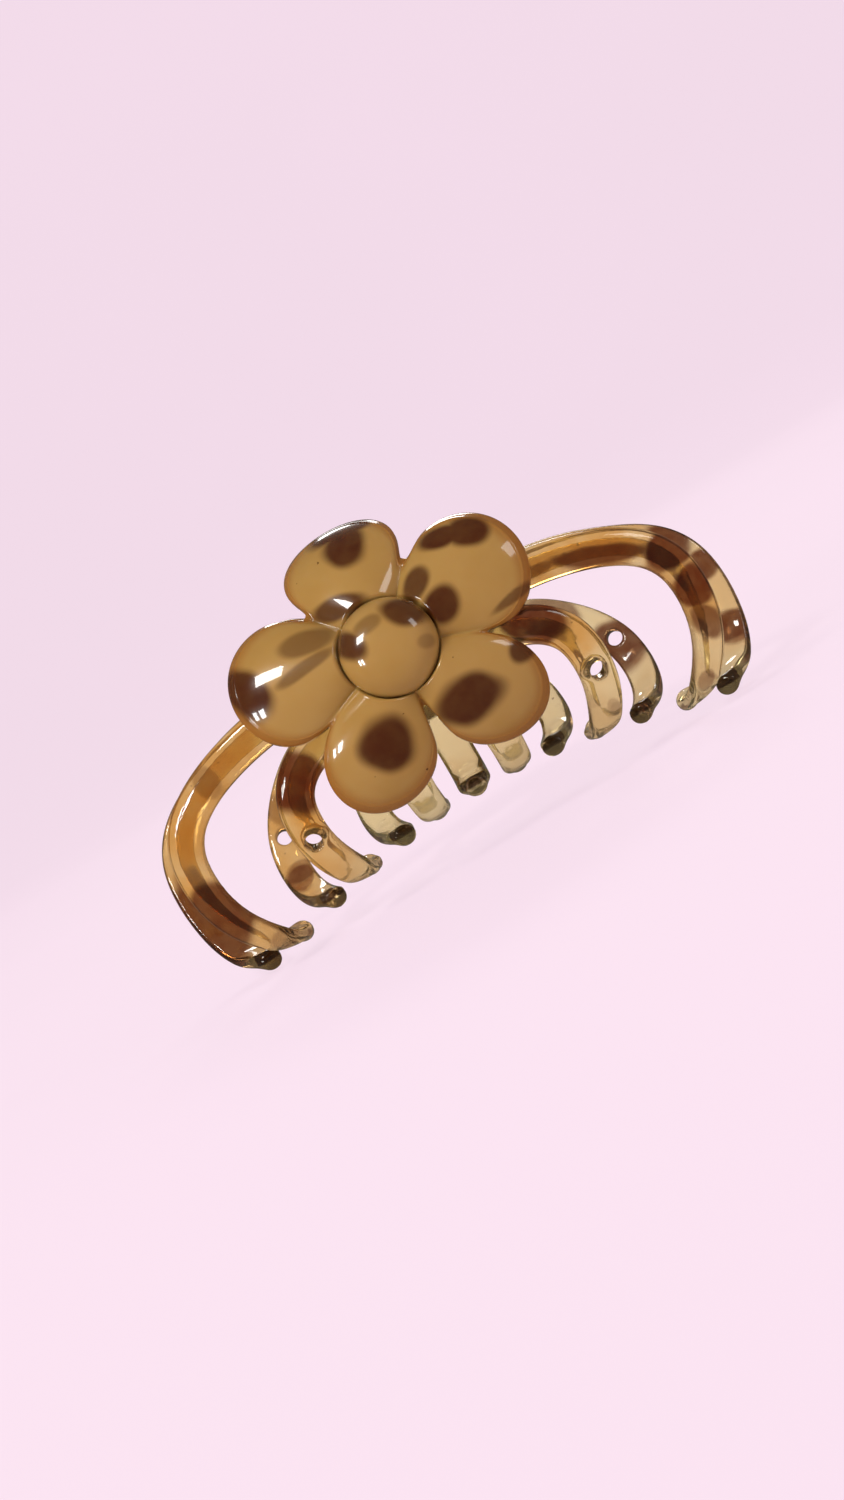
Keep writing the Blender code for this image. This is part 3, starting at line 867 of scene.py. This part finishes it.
def shell_place(obj, side):
    """Across and along places on the shell, worked back from a mesh's points."""
    places, _ = points_of(obj)
    x, y, z = places.T
    bent = SHELL_DEPTH * (1.0 - np.sqrt(1.0 - (x / SHELL_HALF_LENGTH) ** 2))
    deep = side * y - (SHELL_DEPTH - bent - CROWN_RADIUS)
    angle = np.arctan2(z - APEX_Z, deep)
    start = math.asin((FLOWER_CENTRE_Z - APEX_Z) / CROWN_RADIUS)
    return x, (angle - start) * np.hypot(z - APEX_Z, deep)


def make_flower(name, side, plastic):
    shares = [SEAT_SHARE * i / SEAT_RINGS for i in range(1, SEAT_RINGS + 1)]
    # Rings crowd towards the rim, where the surface turns down.
    for i in range(1, PETAL_RINGS + 1):
        shares.append(SEAT_SHARE + (1 - SEAT_SHARE) * math.sin(math.pi / 2 * i / PETAL_RINGS))
    slab = wrapped_slab(flower_outline, flower_top, flower_bottom, side, ANGLES, shares)
    flower = object_from(name + "_petals", slab)
    across, along = shell_place(flower, side)
    reach = np.interp(np.arctan2(along, across), ANGLES, REACH, period=math.tau)
    store(flower, "brown", patch_amount(across, along, PETAL_BROWN, PETAL_BROWN_FADE))
    store(flower, "rim", smoothstep(*PETAL_RIM_FADE, reach - np.hypot(across, along)))
    flower.data.materials.append(plastic)
    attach(flower, BODY[side])
    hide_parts(name)


def make_button(name, side, plastic):
    base = FLOWER_BASE + SEAT_HEIGHT + GAP

    def outline(share, angle):
        return BUTTON_RADIUS * share * math.cos(angle), BUTTON_RADIUS * share * math.sin(angle)

    def top(share, angle):
        crown = math.sqrt(1.0 - share**BUTTON_FULLNESS)
        return base + BUTTON_LIP + (BUTTON_HEIGHT - BUTTON_LIP) * crown

    def bottom(share, angle):
        return base

    shares = [math.sin(math.pi / 2 * i / BUTTON_RINGS) for i in range(1, BUTTON_RINGS + 1)]
    slab = wrapped_slab(outline, top, bottom, side, full_turn(BUTTON_SIDES), shares)
    button = object_from(name + "_dome", slab)
    across, along = shell_place(button, side)
    store(button, "brown", patch_amount(across, along, BUTTON_BROWN, BUTTON_BROWN_FADE))
    button.data.materials.append(plastic)
    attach(button, BODY[side])
    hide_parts(name)


# --- pin and spring ----------------------------------------------------------------------


def make_pin(steel):
    face = FRONT_LUG_X + LUG_THICKNESS / 2 + GAP
    edge = face + PIN_HEAD_EDGE
    dome = PIN_HEAD_LENGTH - PIN_HEAD_EDGE
    half = [(face - PIN_HEAD_EDGE / 2, PIN_RADIUS), (face, PIN_RADIUS)]
    half += [(face, PIN_HEAD_RADIUS - PIN_HEAD_EDGE), (edge, PIN_HEAD_RADIUS)]
    for i in range(PIN_HEAD_STEPS):
        turn = math.pi / 2 * i / PIN_HEAD_STEPS
        half.append((edge + dome * math.sin(turn), PIN_HEAD_RADIUS * math.cos(turn)))
    stations = [(-x, radius) for x, radius in reversed(half)] + half
    pin = object_from("hinge_pin_polished", rod_along_x(stations))
    pin.data.set_sharp_from_angle(angle=PIN_SHARP_ANGLE)
    pin.data.materials.append(steel)
    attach(pin, "front_half")
    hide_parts("hinge_pin")


def spring_points():
    reach, leg_z = SPRING_LEG_END
    rise = leg_z - HINGE_Z
    lean = math.acos(COIL_RADIUS / math.hypot(reach, rise))
    first = math.atan2(rise, -reach) - lean
    last = math.atan2(rise, reach) + lean - math.tau * COIL_TURNS
    coil = []
    count = COIL_TURNS * COIL_STEPS
    for i in range(count + 1):
        share = i / count
        angle = first + (last - first) * share
        x = -COIL_HALF_LENGTH + 2 * COIL_HALF_LENGTH * share
        height = HINGE_Z + COIL_RADIUS * math.sin(angle)
        coil.append(Vector((x, COIL_RADIUS * math.cos(angle), height)))
    front_end = Vector((-COIL_HALF_LENGTH, -reach, leg_z))
    back_end = Vector((COIL_HALF_LENGTH, reach, leg_z))
    front_leg = [front_end.lerp(coil[0], i / LEG_STEPS) for i in range(LEG_STEPS)]
    back_leg = [coil[-1].lerp(back_end, (i + 1) / LEG_STEPS) for i in range(LEG_STEPS)]
    return front_leg + coil + back_leg


def make_spring(steel):
    curve = bpy.data.curves.new("spring_wire", "CURVE")
    curve.dimensions = "3D"
    curve.bevel_depth = WIRE_RADIUS * MM
    curve.bevel_resolution = WIRE_ROUNDNESS
    curve.use_fill_caps = True
    points = spring_points()
    wire = curve.splines.new("POLY")
    wire.points.add(len(points) - 1)
    for place, point in zip(wire.points, points):
        place.co = (*(point * MM), 1.0)
    line = bpy.data.objects.new("spring_wire_line", curve)
    bpy.context.scene.collection.objects.link(line)
    graph = bpy.context.evaluated_depsgraph_get()
    mesh = bpy.data.meshes.new_from_object(line.evaluated_get(graph))
    drop(line)
    spring = bpy.data.objects.new("spring_wire", mesh)
    bpy.context.scene.collection.objects.link(spring)
    mesh.materials.clear()
    mesh.materials.append(steel)
    mesh.shade_smooth()
    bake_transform(spring)
    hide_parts("torsion_spring")


# --- materials ---------------------------------------------------------------------------


def new_material(name):
    made = bpy.data.materials.new(name)
    made.use_nodes = True
    nodes = made.node_tree.nodes
    return made, nodes, made.node_tree.links, nodes["Principled BSDF"]


def attribute(nodes, name):
    node = nodes.new("ShaderNodeAttribute")
    node.attribute_name = name
    return node.outputs["Fac"]


def noise(nodes, links, scale, detail=3.0):
    place = nodes.new("ShaderNodeTexCoord")
    node = nodes.new("ShaderNodeTexNoise")
    node.inputs["Scale"].default_value = scale
    node.inputs["Detail"].default_value = detail
    links.new(place.outputs["Object"], node.inputs["Vector"])
    return node.outputs["Fac"]


def remap(nodes, links, source, given, wanted):
    """The source, eased from the given range to the wanted one."""
    node = nodes.new("ShaderNodeMapRange")
    node.interpolation_type = "SMOOTHSTEP"
    links.new(source, node.inputs["Value"])
    for key, value in zip(("From Min", "From Max", "To Min", "To Max"), (*given, *wanted)):
        node.inputs[key].default_value = value
    return node.outputs["Result"]


def calculate(nodes, links, operation, one, other):
    node = nodes.new("ShaderNodeMath")
    node.operation = operation
    node.use_clamp = True
    links.new(one, node.inputs[0])
    links.new(other, node.inputs[1])
    return node.outputs["Value"]


def blend_colours(nodes, links, share, one, other):
    node = nodes.new("ShaderNodeMix")
    node.data_type = "RGBA"
    links.new(share, node.inputs["Factor"])
    for socket, value in ((node.inputs[6], one), (node.inputs[7], other)):
        if isinstance(value, tuple):
            socket.default_value = (*value, 1.0)
        else:
            links.new(value, socket)
    return node.outputs[2]


def bump(nodes, links, height, strength, distance):
    node = nodes.new("ShaderNodeBump")
    node.inputs["Strength"].default_value = strength
    node.inputs["Distance"].default_value = distance
    links.new(height, node.inputs["Height"])
    return node.outputs["Normal"]


def amber_plastic(name):
    """Clear plastic that dye clouds colour amber and brown, with nearly black specks and painted
    shade.
    """
    made, nodes, links, shader = new_material(name)
    clouds = noise(nodes, links, scale=160.0, detail=4.0)
    cloudy = remap(nodes, links, clouds, (0.25, 0.6), (0.55, 1.0))
    golden = calculate(nodes, links, "MULTIPLY", attribute(nodes, "gold"), cloudy)
    haze = remap(nodes, links, noise(nodes, links, scale=60.0), (0.42, 0.7), (0.1, 0.45))
    golden = calculate(nodes, links, "MAXIMUM", golden, haze)
    streaks = noise(nodes, links, scale=420.0, detail=5.0)
    streaks = remap(nodes, links, streaks, (0.3, 0.7), (0.88, 1.0))
    browned = calculate(nodes, links, "MULTIPLY", attribute(nodes, "brown"), streaks)
    specks = noise(nodes, links, scale=900.0, detail=1.0)
    specks = remap(nodes, links, specks, (0.76, 0.8), (0.0, 0.7))
    # Painted shade on walls, nub ends and hole linings, joined with the plastic's own black specks.
    specks_and_painted_shade = calculate(nodes, links, "MAXIMUM", attribute(nodes, "painted_shade"), specks)
    colour = blend_colours(nodes, links, golden, AMBER_CLEAR, AMBER_GOLD)
    colour = blend_colours(nodes, links, browned, colour, AMBER_BROWN)
    colour = blend_colours(nodes, links, specks_and_painted_shade, colour, AMBER_SPECK_AND_SHADE)
    links.new(colour, shader.inputs["Base Color"])
    roughness = remap(nodes, links, clouds, (0.3, 0.7), (0.03, 0.09))
    links.new(roughness, shader.inputs["Roughness"])
    waves = noise(nodes, links, scale=240.0, detail=2.0)
    links.new(bump(nodes, links, waves, strength=0.12, distance=0.0004), shader.inputs["Normal"])
    shader.inputs["Transmission Weight"].default_value = 0.92
    shader.inputs["IOR"].default_value = 1.5
    return made


def caramel_plastic(name):
    """Milky plastic with soft dye blotches under a deep gloss."""
    made, nodes, links, shader = new_material(name)
    clouds = noise(nodes, links, scale=90.0)
    milkiness = remap(nodes, links, clouds, (0.3, 0.7), (0.0, 1.0))
    milky = tuple(channel * more for channel, more in zip(CARAMEL, CARAMEL_MILK))
    milk = blend_colours(nodes, links, milkiness, CARAMEL, milky)
    milk = blend_colours(nodes, links, attribute(nodes, "rim"), milk, CARAMEL_RIM)
    mottle = remap(nodes, links, noise(nodes, links, scale=300.0), (0.25, 0.75), (0.94, 1.0))
    browned = calculate(nodes, links, "MULTIPLY", attribute(nodes, "brown"), mottle)
    specks = noise(nodes, links, scale=820.0, detail=1.0)
    specks = remap(nodes, links, specks, (0.775, 0.8), (0.0, 0.75))
    browned = calculate(nodes, links, "MAXIMUM", browned, specks)
    links.new(blend_colours(nodes, links, browned, milk, CARAMEL_BROWN), shader.inputs["Base Color"])
    roughness = remap(nodes, links, clouds, (0.3, 0.7), (0.14, 0.24))
    links.new(roughness, shader.inputs["Roughness"])
    waves = noise(nodes, links, scale=130.0, detail=2.0)
    links.new(bump(nodes, links, waves, strength=0.06, distance=0.0005), shader.inputs["Normal"])
    shader.inputs["Subsurface Weight"].default_value = 0.3
    shader.inputs["Subsurface Radius"].default_value = (1.0, 0.45, 0.15)
    shader.inputs["Subsurface Scale"].default_value = 0.003
    shader.inputs["Specular IOR Level"].default_value = 0.15
    shader.inputs["Coat Weight"].default_value = 0.8
    shader.inputs["Coat Roughness"].default_value = 0.04
    shader.inputs["IOR"].default_value = 1.5
    return made


def steel_wire(name, roughness):
    """Bright drawn steel."""
    made, nodes, links, shader = new_material(name)
    grain = noise(nodes, links, scale=1500.0, detail=2.0)
    share = remap(nodes, links, grain, (0.3, 0.7), (0.0, 1.0))
    tone = blend_colours(nodes, links, share, STEEL_DARK, STEEL_LIGHT)
    links.new(tone, shader.inputs["Base Color"])
    roughness = remap(nodes, links, grain, (0.3, 0.7), (roughness, roughness + 0.1))
    links.new(roughness, shader.inputs["Roughness"])
    links.new(bump(nodes, links, grain, strength=0.05, distance=0.0001), shader.inputs["Normal"])
    shader.inputs["Metallic"].default_value = 1.0
    return made


def stage_paint():
    """Matt paint with a glow of its own, so that floor and wall look like one pale field."""
    made, nodes, links, shader = new_material("stage_paint")
    share = remap(nodes, links, noise(nodes, links, scale=3.0), (0.3, 0.7), (0.0, 1.0))
    tone = blend_colours(nodes, links, share, STAGE_DARK, STAGE_LIGHT)
    links.new(tone, shader.inputs["Base Color"])
    shader.inputs["Roughness"].default_value = 0.9
    shader.inputs["Emission Color"].default_value = (*STAGE_GLOW, 1.0)
    shader.inputs["Emission Strength"].default_value = STAGE_GLOW_STRENGTH
    return made


# --- stage, light and camera -------------------------------------------------------------


def make_stage():
    """A pale floor that turns up into a wall all round, open at the top."""
    profile = [(STAGE_RADIUS, 0.0)]
    for i in range(1, STAGE_TURN_STEPS + 1):
        turn = math.pi / 2 * i / STAGE_TURN_STEPS
        out = STAGE_RADIUS + STAGE_TURN_RADIUS * math.sin(turn)
        profile.append((out, STAGE_TURN_RADIUS * (1.0 - math.cos(turn))))
    profile.append((STAGE_RADIUS + STAGE_TURN_RADIUS, STAGE_HEIGHT))
    made = bmesh.new()
    centre = made.verts.new((0.0, 0.0, 0.0))
    loops = []
    for radius, height in profile:
        loop = []
        for angle in full_turn(STAGE_SIDES):
            place = (radius * math.cos(angle), radius * math.sin(angle), height)
            loop.append(made.verts.new(place))
        loops.append(loop)
    for i in range(STAGE_SIDES):
        j = (i + 1) % STAGE_SIDES
        made.faces.new((centre, loops[0][i], loops[0][j]))
        for near, far in zip(loops, loops[1:]):
            made.faces.new((near[i], far[i], far[j], near[j]))
    mesh = bpy.data.meshes.new("stage")
    made.to_mesh(mesh)
    made.free()
    mesh.shade_smooth()
    floor = bpy.data.objects.new("stage", mesh)
    floor.location = (0.0, 0.0, -STAGE_DROP)
    bpy.context.scene.collection.objects.link(floor)
    mesh.materials.append(stage_paint())
    # Reflections show the lights and the dim room, and not the stage.
    floor.visible_glossy = False


def make_light(light):
    data = bpy.data.lights.new(light.name, "AREA")
    data.shape = "RECTANGLE"
    data.size, data.size_y = light.size
    data.energy = light.power
    data.color = light.colour
    lamp = bpy.data.objects.new(light.name, data)
    lamp.location = light.place
    aim = LIGHT_AIM - Vector(light.place)
    lamp.rotation_euler = aim.to_track_quat("-Z", "Y").to_euler()
    bpy.context.scene.collection.objects.link(lamp)


def make_room():
    """The dim room's own light, and plain colours that no film curve bends."""
    world = bpy.data.worlds.new("pale_room")
    world.use_nodes = True
    sky = world.node_tree.nodes["Background"]
    sky.inputs["Color"].default_value = (*ROOM, 1.0)
    sky.inputs["Strength"].default_value = ROOM_STRENGTH
    bpy.context.scene.world = world
    bpy.context.scene.view_settings.view_transform = "Standard"


def make_camera():
    """The camera: turned and raised a little, and rolled so that the clip lies aslant."""
    flat = math.cos(CAMERA_ELEVATION)
    sideways = flat * math.sin(CAMERA_YAW)
    back = Vector((sideways, -flat * math.cos(CAMERA_YAW), math.sin(CAMERA_ELEVATION)))
    level = Vector((math.cos(CAMERA_YAW), math.sin(CAMERA_YAW), 0.0))
    upright = back.cross(level)
    right = level * math.cos(CAMERA_ROLL) - upright * math.sin(CAMERA_ROLL)
    up = level * math.sin(CAMERA_ROLL) + upright * math.cos(CAMERA_ROLL)
    data = bpy.data.cameras.new("camera")
    data.lens = LENS
    data.clip_start = 0.01
    camera = bpy.data.objects.new("camera", data)
    place = (Vector(LOOK_AT) + back * CAMERA_DISTANCE) * MM
    turned = Matrix((right, up, back)).transposed().to_4x4()
    camera.matrix_world = Matrix.Translation(place) @ turned
    bpy.context.scene.collection.objects.link(camera)
    bpy.context.scene.camera = camera


def main():
    make_camera()
    make_stage()
    make_room()
    for light in LIGHTS:
        make_light(light)
    amber = amber_plastic("amber")
    caramel = caramel_plastic("caramel")
    make_jaw("front_jaw", FRONT, FRONT_TINES, FRONT_LUG_X, (FRONT_BROWN, FRONT_GOLD), amber)
    make_jaw("back_jaw", BACK, BACK_TINES, BACK_LUG_X, (BACK_BROWN, BACK_GOLD), amber)
    for side, label in ((FRONT, "front"), (BACK, "back")):
        make_flower(f"{label}_flower", side, caramel)
        make_button(f"{label}_flower_button", side, caramel)
    make_pin(steel_wire("pin_steel", 0.16))
    make_spring(steel_wire("spring_steel", 0.2))


main()
